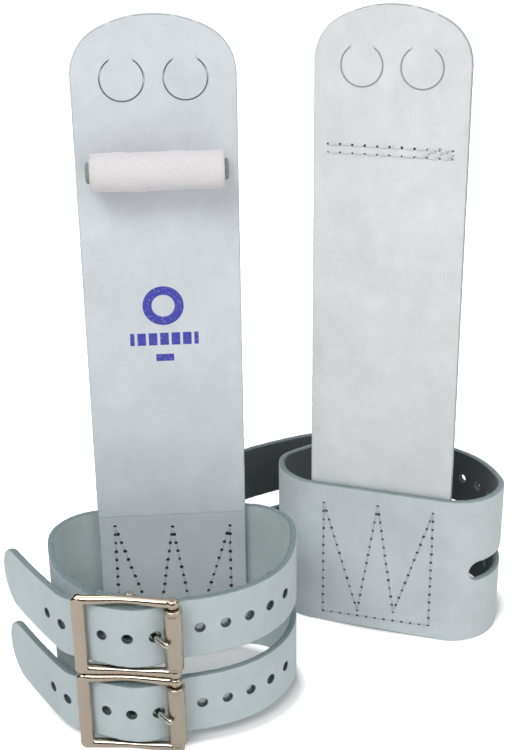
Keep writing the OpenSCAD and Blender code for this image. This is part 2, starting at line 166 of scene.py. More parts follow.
CORNER_X, CORNER_Y = HALF_WIDTH - CORNER, HALF_DEPTH - CORNER
SIDE_X = HALF_WIDTH - SIDE
FRONT_R = (SIDE**2 - SIDE_X**2 - (HALF_DEPTH + CORNER_Y) ** 2) / (2 * (SIDE - HALF_DEPTH - CORNER_Y))
FRONT_Y = FRONT_R - HALF_DEPTH
FRONT_MEET = math.degrees(math.asin(SIDE_X / (FRONT_R - SIDE)))
CORNER_MID, SIDE_MID, FRONT_MID = CORNER - HALF, SIDE - HALF, FRONT_R - HALF
LOOP_R = BAR_R + GAP + HALF
STRAP_N = LOOP_R + LEATHER + GAP
TAB_LEAVE = TAB_TURN + BUCKLE_TURN
tab_joint = to_buckle((-SIDE_X - SIDE_MID * sind(TAB_LEAVE), CORNER_Y - SIDE_MID * cosd(TAB_LEAVE)))
TAB_BEND = bend_radius(tab_joint[0], LOOP_R - tab_joint[1], TAB_TURN)
TAB_RUN = (tab_joint[0] - TAB_BEND * sind(TAB_TURN)) / cosd(TAB_TURN)
strap_joint = to_buckle((FRONT_MID * sind(STRAP_LEAVE), FRONT_Y - FRONT_MID * cosd(STRAP_LEAVE)))
KICK_FROM = BUCKLE_TURN + STRAP_LEAVE
RISE_TURN = KICK_FROM + KICK
kick_w = strap_joint[0] + KICK_R * (sind(RISE_TURN) - sind(KICK_FROM))
kick_n = strap_joint[1] + KICK_R * (cosd(KICK_FROM) - cosd(RISE_TURN))
RISE_BEND = bend_radius(-kick_w, STRAP_N - kick_n, RISE_TURN)
RISE_RUN = (-kick_w - RISE_BEND * sind(RISE_TURN)) / cosd(RISE_TURN)
OVER_BEND = TAB_BEND + LEATHER + GAP


# spacing of the points along the band's centre line
TRACE_STEP = 0.25


def arc(r, turn):
    return (r * abs(math.radians(turn)), turn)


def trace(x, y, heading, steps):
    """Points [length, x, y, heading] along [length, turn] steps, and the length at which each step starts."""
    rows, starts, total = [(0.0, x, y, heading)], [], 0.0
    for length, turn in steps:
        starts.append(total)
        count = max(2, int(length / TRACE_STEP))
        x0, y0, h0 = x, y, heading
        for k in range(1, count + 1):
            t = k / count
            if turn == 0:
                x, y = x0 + length * t * cosd(h0), y0 + length * t * sind(h0)
            else:
                r = length / math.radians(turn)
                heading = h0 + turn * t
                x, y = x0 + r * (sind(heading) - sind(h0)), y0 + r * (cosd(h0) - cosd(heading))
            rows.append((total + length * t, x, y, heading))
        total += length
    return np.array(rows), starts + [total]


class BandPath:
    """Centre line of one wristband from its tail tips, over the bar, round the wrist, to the folded tab."""

    def __init__(self, knee, knee_r, curl):
        high = on_buckle(0, STRAP_N)
        over, bend = arc(OVER_BEND, -OVER_TURN), arc(knee_r, -knee)
        rest = TAIL_LENGTH - over[0] - OVER_RUN - bend[0]
        back, _ = trace(*high, 180 - BUCKLE_TURN, [over, (OVER_RUN, 0), bend, (rest, -curl)])
        steps = {
            "rise_bend": arc(RISE_BEND, RISE_TURN),
            "rise": (RISE_RUN, 0),
            "kick": arc(KICK_R, -KICK),
            "front": arc(FRONT_MID, FRONT_MEET - STRAP_LEAVE),
            "right_side": arc(SIDE_MID, 90 - FRONT_MEET),
            "right_corner": arc(CORNER_MID, 90),
            "back": (2 * CORNER_X, 0),
            "left_corner": arc(CORNER_MID, 90),
            "left_side": arc(SIDE_MID, 90 - TAB_LEAVE),
            "tab": (TAB_RUN, 0),
            "tab_bend": arc(TAB_BEND, TAB_TURN),
            "loop": arc(LOOP_R, 180),
            "fold": (FOLD_RUN, 0),
            "fold_bend": arc(FOLD_R, -FOLD_TURN),
            "fold_end": (FOLD_END, 0),
        }
        ahead, starts = trace(*high, -BUCKLE_TURN, list(steps.values()))
        back = back[::-1].copy()
        back[:, 0] = TAIL_LENGTH - back[:, 0]
        back[:, 3] -= 180
        ahead[:, 0] += TAIL_LENGTH
        self.rows = np.vstack([back, ahead[1:]])
        self.start = {name: TAIL_LENGTH + s for name, s in zip(steps, starts)}
        self.end = self.rows[-1, 0]

    def at(self, s):
        """x, y and heading at a length along the path."""
        return [np.interp(s, self.rows[:, 0], self.rows[:, k]) for k in (1, 2, 3)]

    def place(self, s, z, n):
        """Points at length s and height z, n outwards from the centre line."""
        x, y, h = self.at(s)
        h = np.radians(h)
        return np.stack([x + n * np.sin(h), y - n * np.cos(h), z], 1)


# ---------- flat patterns
def circle(cx, cy, r, count=26):
    turns = [2 * math.pi * k / count for k in range(count)]
    return [(cx + r * math.cos(a), cy + r * math.sin(a)) for a in turns]


def arc_points(cx, cy, r, a0, a1, count):
    turns = [a0 + (a1 - a0) * k / count for k in range(count + 1)]
    return [(cx + r * cosd(a), cy + r * sind(a)) for a in turns]


def resample(loop, step):
    """Evenly spaced points on a closed loop, corners kept."""
    out = []
    for a, b in zip(loop, loop[1:] + loop[:1]):
        length = math.dist(a, b)
        count = max(1, round(length / step))
        out += [(a[0] + (b[0] - a[0]) * k / count, a[1] + (b[1] - a[1]) * k / count) for k in range(count)]
    return out


def inside(px, py, loop):
    """Even-odd test of many points against one closed loop."""
    q = np.array(loop)
    r = np.roll(q, -1, 0)
    hit = np.zeros(len(px), bool)
    for (x0, y0), (x1, y1) in zip(q, r):
        if y0 == y1:
            continue
        cross = (y0 > py) != (y1 > py)
        hit ^= cross & (px < (x1 - x0) * (py - y0) / (y1 - y0) + x0)
    return hit


def distance(px, py, loops):
    """Distance of many points to the nearest of several closed loops."""
    best = np.full(len(px), 1e9)
    for loop in loops:
        q = np.array(loop)
        r = np.roll(q, -1, 0)
        for (x0, y0), (x1, y1) in zip(q, r):
            dx, dy = x1 - x0, y1 - y0
            t = np.clip(((px - x0) * dx + (py - y0) * dy) / max(dx * dx + dy * dy, 1e-12), 0, 1)
            best = np.minimum(best, (px - x0 - t * dx) ** 2 + (py - y0 - t * dy) ** 2)
    return np.sqrt(best)


def ring(loop, d, inner):
    """The loop moved by d to the side where the leather is."""
    q = np.array(loop)
    tangent = np.roll(q, -1, 0) - np.roll(q, 1, 0)
    tangent /= np.maximum(np.linalg.norm(tangent, axis=1, keepdims=True), 1e-9)
    area = 0.5 * np.sum(q[:, 0] * np.roll(q[:, 1], -1) - np.roll(q[:, 0], -1) * q[:, 1])
    side = 1 if (area > 0) != inner else -1
    return q + side * d * np.stack([-tangent[:, 1], tangent[:, 0]], 1)


def on_leather(p, outline, holes):
    keep = inside(p[:, 0], p[:, 1], outline)
    for h in holes:
        keep &= ~inside(p[:, 0], p[:, 1], h)
    return keep


def pattern(outline, holes, grid, rings=(0.12, 0.32, 0.65)):
    """Triangles over a flat outline with holes: (points, triangles, distance of each point to the edge)."""
    loops = [outline] + holes
    verts, edges = [], []
    for loop in loops:
        first = len(verts)
        verts += [tuple(p) for p in loop]
        edges += [(first + k, first + (k + 1) % len(loop)) for k in range(len(loop))]
    extra = []
    for d in rings:
        for k, loop in enumerate(loops):
            q = ring(loop, d, k > 0)
            extra.append(q[distance(q[:, 0], q[:, 1], loops) > 0.9 * d])
    lo, hi = np.min(np.array(outline), 0), np.max(np.array(outline), 0)
    gx, gy = np.meshgrid(np.arange(lo[0] + grid / 2, hi[0], grid), np.arange(lo[1] + grid / 2, hi[1], grid))
    gx = gx + (np.arange(gx.shape[0]) % 2)[:, None] * grid / 2
    g = np.stack([gx.ravel(), gy.ravel()], 1)
    g = g[distance(g[:, 0], g[:, 1], loops) > rings[-1] + 0.35 * grid]
    extra.append(g)
    extra = np.vstack(extra)
    verts += [tuple(p) for p in extra[on_leather(extra, outline, holes)]]
    v, _, faces, _, _, _ = geometry.delaunay_2d_cdt([Vector(p) for p in verts], edges, [], 0, 1e-6)
    v = np.array([(p.x, p.y) for p in v])
    faces = np.array([f for f in faces if len(f) == 3])
    faces = faces[on_leather(v[faces].mean(1), outline, holes)]
    a, b, d = v[faces[:, 0]], v[faces[:, 1]], v[faces[:, 2]]
    flip = (b[:, 0] - a[:, 0]) * (d[:, 1] - a[:, 1]) - (b[:, 1] - a[:, 1]) * (d[:, 0] - a[:, 0]) < 0
    faces[flip] = faces[flip][:, ::-1]
    return v, faces, distance(v[:, 0], v[:, 1], loops)


# rounding of a cut edge, and how fast its tone fades inwards; crisp edges are those of small punched holes,
# and their tone rises above 1, where the leather paints shade into the hole walls and slits
EDGE_ROUND, EDGE_FADE = 0.42, 0.35
CRISP_ROUND, CRISP_FADE, CRISP_TONE_AND_SHADE = 0.13, 0.2, 1.6


def in_scene(name, data):
    obj = bpy.data.objects.new(name, data)
    bpy.context.scene.collection.objects.link(obj)
    return obj


def new_mesh(name, points, faces, right):
    """A smooth mesh object from points in a grip's own frame; the right grip's mirrored faces turn over."""
    mesh = bpy.data.meshes.new(name)
    faces = [tuple(f[::-1]) if right else tuple(f) for f in faces]
    mesh.from_pydata([tuple(p) for p in to_row(points, right)], [], faces)
    mesh.polygons.foreach_set("use_smooth", [True] * len(mesh.polygons))
    mesh.update()
    return in_scene(name, mesh)


def point_values(obj, name, kind, values):
    attribute = obj.data.attributes.new(name, kind, "POINT")
    field = "vector" if kind == "FLOAT_VECTOR" else "value"
    attribute.data.foreach_set(field, np.asarray(values, np.float32).ravel())


def sheet(name, flat, place, right, thickness=LEATHER, flush=None, crisp=None):
    """A leather piece cut from a flat pattern and laid where place(u, v, n) says.

    flush marks joins left square, crisp marks edges with only a little rounding.
    """
    v, faces, d = flat
    half = thickness / 2
    r = np.full(len(v), min(EDGE_ROUND, half * 0.8))
    edge = np.exp(-d / EDGE_FADE)
    if crisp is not None:
        sharp = crisp(v[:, 0], v[:, 1])
        r[sharp] = CRISP_ROUND
        # crisp edges get a tone above 1, which the leather paints as shade inside holes and slits
        edge[sharp] = CRISP_TONE_AND_SHADE * np.exp(-d[sharp] / CRISP_FADE)
    near = np.clip(d, 0, r)
    h = half - r + np.sqrt(np.maximum(r * r - (r - near) ** 2, 0))
    if flush is not None:
        joined = flush(v[:, 0], v[:, 1])
        h[joined] = half
        edge[joined] = 0
    count = len(v)
    top = place(v[:, 0], v[:, 1], h)
    bottom = place(v[:, 0], v[:, 1], -h)
    sides = dict.fromkeys((f[k], f[(k + 1) % 3]) for f in faces for k in range(3))
    walls = [(a, b) for a, b in sides if (b, a) not in sides]
    tris = [tuple(f) for f in faces] + [(f[2] + count, f[1] + count, f[0] + count) for f in faces]
    tris += [(b, a, a + count, b + count) for a, b in walls]
    obj = new_mesh(name, np.vstack([top, bottom]), tris, right)
    if flush is not None:
        square_off(obj, joined)
    pat = np.concatenate([v, v])
    side = np.concatenate([np.ones(count), -np.ones(count)])
    point_values(obj, "pat", "FLOAT_VECTOR", np.column_stack([pat, side]))
    point_values(obj, "edge", "FLOAT", np.tile(edge, 2))
    return obj


def square_off(obj, joined):
    """Flat shading up to the square joins, so that two pieces that meet there look like one."""
    count = len(joined)
    ends = np.zeros(2 * len(obj.data.edges), int)
    obj.data.edges.foreach_get("vertices", ends)
    ends = ends.reshape(-1, 2)
    both = joined[ends % count].all(1)
    keys = {tuple(sorted(e)): k for k, e in enumerate(ends.tolist())}
    on_wall = np.zeros(len(ends), bool)
    for poly in obj.data.polygons:
        if len(poly.vertices) == 4:
            on_wall[[keys[tuple(sorted(k))] for k in poly.edge_keys]] = True
    sharp = obj.data.attributes.new("sharp_edge", "BOOLEAN", "EDGE")
    sharp.data.foreach_set("value", both & on_wall)


def ease(t):
    t = np.clip(t, 0, 1)
    return t * t * (3 - 2 * t)


def punched_holes():
    """Strap holes (length along the strap, height, radius), counted from the centre bar."""
    holes = []
    for z in (LOWER_Z, UPPER_Z):
        for k in range(-4, 8):
            slack = TAIL_SLACK if k < -2 else RING_SLACK if k > 1 else 0.0
            holes.append((TAIL_LENGTH + k * PITCH + slack, z, TONGUE_HOLE_R if k == 1 else HOLE_R))
    return holes


def beside_hole(s, z):
    """Which points lie close to a strap hole."""
    near = np.zeros(len(s), bool)
    for cx, cz, r in punched_holes():
        near |= np.hypot(s - cx, z - cz) < r + 0.9
    return near


def band_flat(path):
    """Flat pattern of a wristband: length along the strap and height."""
    start = path.start
    slot_a = start["right_corner"] + CORNER_MID * math.radians(SLOT_TURN)
    left_side = np.arange(start["left_side"], start["tab"], TRACE_STEP)
    slot_b = float(left_side[np.argmin(np.abs(path.at(left_side)[1] - SLOT_END_Y))])
    tip = STRAP / 2

    def top(s):
        y = path.at(s)[1]
        on_ring = (s > start["front"]) & (s < start["tab_bend"])
        return BAND_HEIGHT - DIP * np.where(on_ring, ease((DIP_FROM_Y - y) / DIP_LENGTH), 1.0)

    end = path.end
    up_edge = [(s, float(top(s))) for s in np.arange(tip, end, 1.0)] + [(end, float(top(end)))]
    slot_lo, slot_hi = MIDDLE_Z - SLOT / 2, MIDDLE_Z + SLOT / 2
    upper = [(s, slot_hi) for s in np.arange(tip, slot_a, 1.0)]
    loop = arc_points(tip, UPPER_Z, tip, 90, 270, 28)[1:-1] + upper
    loop += arc_points(slot_a, MIDDLE_Z, SLOT / 2, 90, -90, 12)
    loop += [(s, slot_lo) for s in np.arange(slot_a, tip, -1.0)][1:]
    loop += arc_points(tip, LOWER_Z, tip, 90, 270, 28)
    loop += [(s, BAND_HEIGHT - z) for s, z in up_edge[1:]]
    loop += [(end, slot_lo)] + [(s, slot_lo) for s in np.arange(end - 1, slot_b, -1.0)]
    loop += arc_points(slot_b, MIDDLE_Z, SLOT / 2, -90, -270, 12)
    loop += [(s, slot_hi) for s in np.arange(slot_b + 1, end, 1.0)] + [(end, slot_hi)]
    loop += up_edge[::-1]
    loop = resample([tuple(map(float, p)) for p in loop], 0.9)
    loop = [(s, z + 0.13 * noise.noise(Vector((s * 0.8, z * 0.8, 5.3)))) for s, z in loop]
    holes = [circle(*hole) for hole in punched_holes()]
    tongue_slot = (start["loop"] - 4, start["fold"] + 1.0)
    w = 1.65
    for z in (LOWER_Z, UPPER_Z):
        slot_loop = arc_points(tongue_slot[1], z, w, -90, 90, 10)
        holes.append(resample(slot_loop + arc_points(tongue_slot[0], z, w, 90, 270, 10), 0.7))
    return pattern(loop, holes, 1.5)


# ---------- materials
def srgb(r, g, b):
    return tuple(((c / 255 + 0.055) / 1.055) ** 2.4 for c in (r, g, b)) + (1.0,)


def tint(colour, factor):
    return tuple(c * factor for c in colour[:3]) + (1,)


class Nodes:
    """Short way to write the nodes of a material or of the world."""

    def __init__(self, name, kind=bpy.data.materials, shader="Principled BSDF"):
        self.owner = kind.new(name)
        self.owner.use_nodes = True
        self.tree = self.owner.node_tree
        self.shader = self.tree.nodes[shader]

    def new(self, kind, inputs=None, **settings):
        node = self.tree.nodes.new(kind)
        for key, value in settings.items():
            setattr(node, key, value)
        for key, value in (inputs or {}).items():
            self.put(node.inputs[key], value)
        return node

    def put(self, socket, value):
        if isinstance(value, bpy.types.NodeSocket):
            self.tree.links.new(value, socket)
        else:
            socket.default_value = value

    def math(self, operation, a, b=0.0, clamp=False):
        return self.new("ShaderNodeMath", {0: a, 1: b}, operation=operation, use_clamp=clamp).outputs[0]

    def add(self, a, b, clamp=False):
        return self.math("ADD", a, b, clamp)

    def mul(self, a, b):
        return self.math("MULTIPLY", a, b)

    def within(self, value, reach):
        """1 where the value lies less than reach from 0."""
        return self.math("LESS_THAN", self.math("ABSOLUTE", value), reach)

    def attribute(self, name):
        return self.new("ShaderNodeAttribute", attribute_name=name)

    def scaled(self, vector, factors):
        return self.new("ShaderNodeVectorMath", {0: vector, 1: factors}, operation="MULTIPLY").outputs[0]

    def noise(self, vector, factors, detail, rough=0.55):
        inputs = {"Vector": self.scaled(vector, factors), "Scale": 1.0, "Detail": detail, "Roughness": rough}
        return self.new("ShaderNodeTexNoise", inputs).outputs[0]

    def ramp(self, value, lo, hi, to_lo=0.0, to_hi=1.0):
        node = self.new("ShaderNodeMapRange", {0: value, 1: lo, 2: hi, 3: to_lo, 4: to_hi})
        return node.outputs[0]

    def mix(self, factor, a, b, blend="MIX"):
        node = self.new("ShaderNodeMix", data_type="RGBA", blend_type=blend)
        self.put(node.inputs[0], factor)
        self.put(node.inputs[6], a)
        self.put(node.inputs[7], b)
        return node.outputs[2]

    def bump(self, height, strength, distance_mm):
        inputs = {"Height": height, "Strength": strength, "Distance": distance_mm * MM}
        return self.new("ShaderNodeBump", inputs).outputs[0]

    def finish(self, **inputs):
        for key, value in inputs.items():
            self.put(self.shader.inputs[key.replace("_", " ")], value)
        return self.owner


# painted shade inside small cuts and punched holes, and how much of that painted shade shows on the flesh
# side
SLIT_SHADE = srgb(50, 56, 60)
BACK_SLIT_SHADE = 0.12
# painted shade: the palm is painted a little darker and greener towards its foot, which sits low inside the
# band
LOW_SHADE = srgb(120, 142, 140)


def leather_material(name, face, back, cut, mark=False, crease=False):
    """Leather with a grain side, a flesh side and rough cut edges, from the flat pattern's coordinates."""
    m = Nodes(name)
    pat = m.attribute("pat").outputs["Vector"]
    split = m.new("ShaderNodeSeparateXYZ", {0: pat})
    front = m.math("GREATER_THAN", split.outputs[2], 0.0)
    cloud = m.noise(pat, (0.045, 0.045, 1.0), 3.0)
    mottle = m.noise(pat, (0.22, 0.16, 1.0), 5.0, 0.6)
    grain = m.noise(pat, (1.5, 1.2, 1.0), 6.0, 0.65)
    fibre = m.noise(pat, (3.4, 2.2, 1.0), 5.0, 0.7)
    pore_at = m.scaled(pat, (1.15, 1.15, 1.0))
    pores = m.new("ShaderNodeTexVoronoi", {"Vector": pore_at, "Scale": 1.0}, feature="F1")
    base = m.mix(front, back, face)
    shade = m.add(m.ramp(cloud, 0.3, 0.7, 0.93, 1.05), m.ramp(mottle, 0.3, 0.7, -0.035, 0.035))
    shade = m.add(shade, m.ramp(grain, 0.3, 0.7, -0.045, 0.035))
    shade = m.new("ShaderNodeCombineXYZ", {0: shade, 1: shade, 2: shade}).outputs[0]
    base = m.mix(1.0, base, shade, "MULTIPLY")
    speck = m.ramp(m.noise(pat, (0.9, 0.75, 1.0), 2.0), 0.68, 0.76)
    base = m.mix(m.mul(speck, 0.14), base, cut)
    edge = m.attribute("edge").outputs["Fac"]
    ragged = m.mul(edge, m.ramp(fibre, 0.3, 0.7, 0.75, 1.25))
    fibres = m.mix(m.ramp(fibre, 0.38, 0.62), tint(cut, 0.62), tint(cut, 1.35))
    base = m.mix(m.ramp(ragged, 0.35, 0.8, 0.0, 0.9), base, fibres)
    # painted shade: where the edge tone rises above 1, on the walls of punched holes and finger slits, the
    # leather is painted dark
    slit_shade = m.mul(m.ramp(edge, 1.0, 1.45), m.ramp(front, 0.0, 1.0, BACK_SLIT_SHADE, 0.9))
    base = m.mix(slit_shade, base, SLIT_SHADE)
    if crease:
        line, shade_below = crease_shade_line(m, split, mottle)
        # painted shade: the palm is painted darker and greener towards its foot and under the crease, and the
        # crease itself is painted as a dark line
        low = m.ramp(split.outputs[1], CREASE_SHOWN, CREASE_SHOWN + 60.0, 0.16, 0.0)
        base = m.mix(m.add(low, m.mul(shade_below, 0.14)), base, LOW_SHADE)
        base = m.mix(m.mul(line, 0.55), base, cut)
    if mark:
        base = print_mark(m, split, front, grain, base)
    height = m.add(m.mul(grain, 0.6), m.mul(fibre, 0.5))
    height = m.add(height, m.mul(pores.outputs[0], -0.12))
    height = m.add(height, m.mul(edge, m.mul(fibre, 1.5)))
    strength = m.mix(front, (0.75, 0.75, 0.75, 1), (0.42, 0.42, 0.42, 1))
    normal = m.bump(height, strength, 0.16)
    rough = m.ramp(grain, 0.3, 0.7, 0.56, 0.72)
    rough = m.add(rough, m.mul(m.math("SUBTRACT", 1.0, front), 0.18), True)
    return m.finish(
        Base_Color=base, Roughness=rough, Normal=normal, Sheen_Weight=0.12, Sheen_Roughness=0.5,
        Specular_IOR_Level=0.34,
    )


def crease_shade_line(m, split, mottle):
    """Painted shade at the fold across the foot of the palm: a thin dark line, and painted shade on the
    leather under it.
    """
    z = m.math("SUBTRACT", split.outputs[1], CREASE_SHOWN)
    z = m.add(z, m.ramp(mottle, 0.3, 0.7, -0.25, 0.25))
    line = m.ramp(m.math("ABSOLUTE", z), 0.12, 0.42, 1.0, 0.0)
    return line, m.ramp(z, -1.2, 0.2, 1.0, 0.0)


# the stamped mark: its height and ring radius, how far its parts lie above or below that height, half
# sizes of the ring's stroke, the row and the short bar, and the bars in the row
MARK_Z, MARK_RING_R = 111.0, 4.6
RING_UP, ROW_DOWN, SHORT_DOWN = 7.6, 2.6, 8.4
RING_STROKE, ROW_SIZE, SHORT_SIZE = 1.3, (9.9, 1.9), (2.6, 1.1)
BAR_PITCH, BAR_WIDTH = 3.3, 2.5
CREASE_Z = JOINTS["left_palm_fold"]["pos_m"][2] / MM
CREASE_SHOWN = CREASE_Z + 1.8


def print_mark(m, split, front, grain, base):
    """A plain stamped mark on the palm: a ring over a row of bars and one short bar."""
    x = split.outputs[0]
    z = m.math("SUBTRACT", split.outputs[1], MARK_Z)
    ring_z = m.math("SUBTRACT", z, RING_UP)
    r = m.math("SQRT", m.add(m.mul(x, x), m.mul(ring_z, ring_z)))
    outer = m.within(m.math("SUBTRACT", r, MARK_RING_R), RING_STROKE)
    row = m.within(m.add(z, ROW_DOWN), ROW_SIZE[1])
    row = m.mul(row, m.within(x, ROW_SIZE[0]))
    cut_up = m.math("LESS_THAN", m.math("PINGPONG", x, BAR_PITCH / 2), BAR_WIDTH / 2)
    row = m.mul(row, cut_up)
    short = m.within(m.add(z, SHORT_DOWN), SHORT_SIZE[1])
    short = m.mul(short, m.within(x, SHORT_SIZE[0]))
    ink = m.add(outer, m.add(row, short), True)
    ink = m.mul(m.mul(ink, front), m.ramp(grain, 0.26, 0.44, 0.25, 0.95))
    return m.mix(ink, base, srgb(44, 48, 168))


def suede_material():
    """Napped suede: pale fuzz with darker specks and a soft cut edge."""
    m = Nodes("suede_cover")
    pat = m.attribute("pat").outputs["Vector"]
    nap = m.noise(pat, (2.4, 2.4, 1.0), 6.0, 0.75)
    fuzz = m.noise(pat, (5.5, 5.5, 1.0), 5.0, 0.75)
    cloud = m.noise(pat, (0.2, 0.2, 1.0), 4.0)
    base = m.mix(m.ramp(nap, 0.36, 0.62), srgb(226, 222, 225), srgb(248, 246, 246))
    base = m.mix(m.ramp(fuzz, 0.3, 0.4, 0.45, 0.0), base, srgb(150, 144, 148))
    base = m.mix(m.ramp(cloud, 0.45, 0.75, 0.0, 0.25), base, srgb(236, 228, 231))
    edge = m.attribute("edge").outputs["Fac"]
    base = m.mix(m.mul(edge, 0.35), base, srgb(176, 172, 176))
    height = m.add(nap, m.mul(fuzz, 0.7))
    return m.finish(
        Base_Color=base, Roughness=0.95, Normal=m.bump(height, 0.8, 0.4), Sheen_Weight=0.5,
        Sheen_Roughness=0.45, Specular_IOR_Level=0.12,
    )


def metal_material(name, colour, rough, streak):
    """Polished plating with fine haze; streak adds brush lines round the part."""
    m = Nodes(name)
    where = m.new("ShaderNodeTexCoord").outputs["Object"]
    fine = m.noise(where, (900.0, 900.0, 260.0), 4.0, 0.6)
    cloud = m.noise(where, (120.0, 120.0, 90.0), 3.0)
    brush = m.noise(where, (2600.0, 2600.0, 150.0), 3.0)
    base = m.mix(m.ramp(cloud, 0.35, 0.7, 0.0, 0.35), colour, tint(colour, 0.78))
    haze = m.ramp(fine, 0.3, 0.7, rough * 0.75, rough * 1.3)
    roughness = m.add(haze, m.ramp(brush, 0.3, 0.7, 0.0, streak))
    normal = m.bump(m.add(fine, m.mul(brush, streak * 4)), 0.12, 0.03)
    return m.finish(Base_Color=base, Metallic=1.0, Roughness=roughness, Normal=normal)


def thread_material(name, colour):
    """Twisted thread."""
    m = Nodes(name)
    where = m.new("ShaderNodeTexCoord").outputs["Object"]
    inputs = {"Vector": m.scaled(where, (1000.0, 1000.0, 1000.0)), "Scale": 3.2, "Distortion": 0.8}
    twist = m.new("ShaderNodeTexWave", inputs, wave_type="BANDS", bands_direction="DIAGONAL").outputs[0]
    tone = m.noise(where, (400.0, 400.0, 400.0), 2.0)
    base = m.mix(m.ramp(tone, 0.3, 0.7, 0.0, 0.4), colour, tint(colour, 0.7))
    return m.finish(Base_Color=base, Roughness=0.75, Normal=m.bump(twist, 0.5, 0.08), Sheen_Weight=0.3)


def plain_material(name, colour, rough):
    """A matt, finely grained surface."""
    m = Nodes(name)
    where = m.new("ShaderNodeTexCoord").outputs["Object"]
    grain = m.noise(where, (600.0, 600.0, 600.0), 5.0, 0.65)
    base = m.mix(m.ramp(grain, 0.3, 0.7, 0.0, 0.5), colour, tint(colour, 0.6))
    return m.finish(Base_Color=base, Roughness=rough, Normal=m.bump(grain, 0.3, 0.1))


CUT, RIGHT_CUT, PALM_CUT = srgb(108, 127, 130), srgb(126, 142, 145), srgb(160, 172, 176)
PALM_FACES = {False: srgb(213, 218, 223), True: srgb(211, 216, 221)}
PALM_BACKS = {False: srgb(212, 216, 218), True: srgb(224, 226, 228)}
# painted shade: the right band's flesh side is painted dark grey for the shaded inside of that ring; the left
# band's flesh side keeps a light colour
BAND_LEATHER = {
    False: leather_material("leather_band_left", srgb(189, 200, 203), srgb(182, 194, 195), CUT),
    True: leather_material("leather_band_right", srgb(196, 204, 207), srgb(82, 86, 87), RIGHT_CUT),
}
PALM_LEATHER = {
    right: leather_material(name, PALM_FACES[right], PALM_BACKS[right], PALM_CUT, mark=not right, crease=True)
    for right, name in ((False, "leather_palm_left"), (True, "leather_palm_right"))
}
TAB_LEATHER = {
    right: leather_material(name, PALM_FACES[right], PALM_BACKS[right], PALM_CUT)
    for right, name in ((False, "leather_tab_left"), (True, "leather_tab_right"))
}
SUEDE = suede_material()
CORE = plain_material("dowel_core_grey", srgb(144, 150, 148), 0.7)
THREAD = thread_material("thread_pale", srgb(186, 196, 199))
THREAD_WHITE = thread_material("thread_white", srgb(224, 227, 229))
# painted shade: dark discs set in the leather at each needle hole
NEEDLE_HOLE_SHADE = plain_material("needle_hole", srgb(70, 80, 84), 0.9)
NICKEL = metal_material("nickel_frame", srgb(186, 174, 158), 0.07, 0.03)
NICKEL_ROLLER = metal_material("nickel_roller", srgb(184, 174, 158), 0.24, 0.12)
NICKEL_WIRE = metal_material("nickel_wire", srgb(204, 200, 188), 0.14, 0.03)


def dress(obj, material):
    obj.data.materials.append(material)
    return obj


# ---------- small mesh tools
class Build:
    """Collects closed pieces into one mesh."""

    def __init__(self):
        self.points, self.faces, self.slots = [], [], []

    def add(self, points, faces, slot=0):
        first = len(self.points)
        self.points += [tuple(p) for p in points]
        self.faces += [tuple(first + k for k in f) for f in faces]
        self.slots += [slot] * len(faces)

    def sweep(self, path, section, up=(0, 0, 1), scale=None):
        """A section [(a, b)] carried along a path; a is sideways, b follows up."""
        path = np.asarray(path, float)
        count, around = len(path), len(section)
        tangents = np.gradient(path, axis=0)
        points = []
        for k in range(count):
            t = tangents[k] / max(np.linalg.norm(tangents[k]), 1e-9)
            side = np.cross(t, up)
            side /= max(np.linalg.norm(side), 1e-9)
            rise = np.cross(side, t)
            size = scale[k] if scale is not None else (1.0, 1.0)
            points += [path[k] + side * a * size[0] + rise * b * size[1] for a, b in section]
        faces = []
        for k in range(count - 1):
            for i in range(around):
                j = (i + 1) % around
                faces.append((k * around + j, k * around + i, (k + 1) * around + i, (k + 1) * around + j))
        faces.append(tuple(range(around)))
        faces.append(tuple((count - 1) * around + i for i in reversed(range(around))))
        self.add(points, faces)

    def lathe(self, profile, centre, segments):
        """A closed profile [(r, z)] turned about a vertical axis."""
        points, faces, n = [], [], len(profile)
        for k in range(segments):
            a = 2 * math.pi * k / segments
            x, y = math.cos(a), math.sin(a)
            points += [(centre[0] + r * x, centre[1] + r * y, centre[2] + z) for r, z in profile]
        for k in range(segments):
            m = (k + 1) % segments
            for i in range(n):
                j = (i + 1) % n
                faces.append((k * n + i, m * n + i, m * n + j, k * n + j))
        self.add(points, faces)

    def object(self, name, right, materials, place=None):
        points = np.array(self.points)
        if place is not None:
            points = place(points)
        obj = new_mesh(name, points, self.faces, right)
        for m in materials:
            obj.data.materials.append(m)
        obj.data.polygons.foreach_set("material_index", self.slots)
        return obj


def oval(a, b, count, power=2.0):
    """Rounded section; a higher power is squarer."""
    out = []
    for k in range(count):
        t = 2 * math.pi * k / count
        c, s = math.cos(t), math.sin(t)
        out.append((a * math.copysign(abs(c) ** (2 / power), c), b * math.copysign(abs(s) ** (2 / power), s)))
    return out


def attach(obj, side, body, node):
    """The piece moves with a body of that side and stands for the CAD node."""
    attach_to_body(obj, f"{side}_{body}")
    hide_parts(f"{side}_{node}")


# ---------- palm
PALM_BACK = BASE_HI[1]
PALM_MID = PALM_BACK - HALF
PALM_FRONT = BASE_LO[1]
PALM_TOP = FLAP_HI[2]
BASE_HALF = BASE_HI[0]
TOP_HALF = 22.3
ARCH, SHOULDER = 32.0, 14.0
FINGER_R, FINGER_X = 6.0, 8.55
FINGER_Z = PALM_TOP - 16.8
TAB_HINGE_Z = JOINTS["left_outer_tab_fold"]["pos_m"][2] / MM
# width of the cut round a finger tab, half the width of the web that holds it, and where the web is cut
SLIT = {False: 0.1, True: 0.03}
WEB = 2.9
WEB_Z = TAB_HINGE_Z + 1.3


def palm_place(x, z, n):
    return np.stack([x, PALM_MID - n, z], 1)


